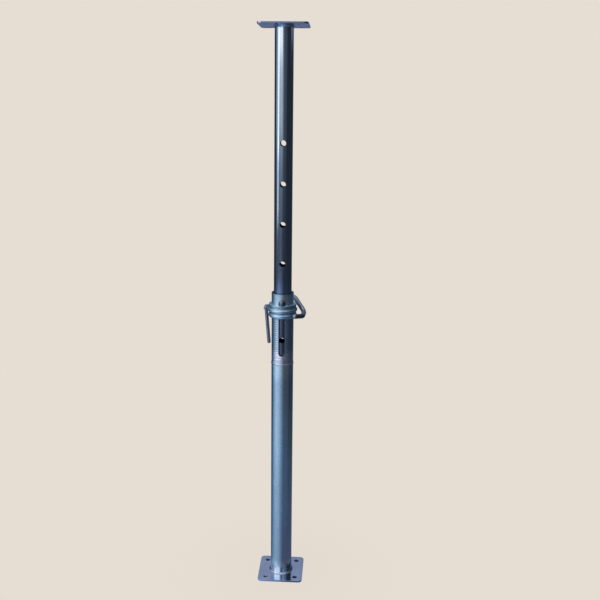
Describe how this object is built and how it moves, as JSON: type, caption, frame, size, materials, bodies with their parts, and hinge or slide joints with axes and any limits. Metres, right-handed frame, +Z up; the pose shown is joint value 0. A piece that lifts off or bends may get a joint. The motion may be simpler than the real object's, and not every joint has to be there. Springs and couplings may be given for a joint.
{
  "type": "adjustable steel prop",
  "caption": "Telescopic steel prop with a threaded sleeve, collar nut with hanging handle, bent locking pin and square end plates.",
  "frame": {"origin": "centre of the base plate's underside, on the tubes' axis", "axes": "+Z up along the tubes, +X away from the nut's handle, -Y the side that the pin's tip points to"},
  "size_m": [0.1271, 0.13, 1.5269],
  "materials": {
    "zinc_outer_tube": "bright zinc plating",
    "zinc_inner_tube": "bright zinc plating",
    "zinc_plate": "bright zinc plating",
    "zinc_casting": "zinc plated casting",
    "zinc_bar": "zinc plated drawn bar",
    "weld_metal": "plated weld bead"
  },
  "bodies": {
    "outer": {"base_plate": "zinc_plate", "base_weld": "weld_metal", "outer_tube": "zinc_outer_tube", "sleeve_weld": "weld_metal", "threaded_sleeve": "zinc_outer_tube"},
    "inner": {"inner_tube": "zinc_inner_tube", "top_weld": "weld_metal", "top_plate": "zinc_plate", "thrust_washer": "zinc_bar"},
    "nut": {"collar_nut": "zinc_casting", "handle_rivet": "zinc_bar"},
    "handle": {"nut_handle": "zinc_bar"},
    "pin": {"g_pin": "zinc_bar"}
  },
  "joints": [
    {"name": "screw_lift", "type": "slide", "parent": "outer", "child": "inner", "axis": [0, 0, 1], "range_m": [-0.127, 0]},
    {"name": "nut_spin", "type": "hinge", "parent": "inner", "child": "nut", "pos_m": [0, 0, 0.787], "axis": [0, 0, 1], "range_deg": [-7201, 0.5]},
    {"name": "handle_fold", "type": "hinge", "parent": "nut", "child": "handle", "pos_m": [-0.0448, 0, 0.796], "axis": [0, 1, 0], "range_deg": [0, 140]},
    {"name": "pin_swing", "type": "hinge", "parent": "inner", "child": "pin", "pos_m": [0, 0, 0.8156], "axis": [0, -1, 0], "range_deg": [0, 80]}
  ],
  "couplings": [
    {"joint": "nut_spin", "follows": "screw_lift", "rad_per_m": 989.48}
  ]
}
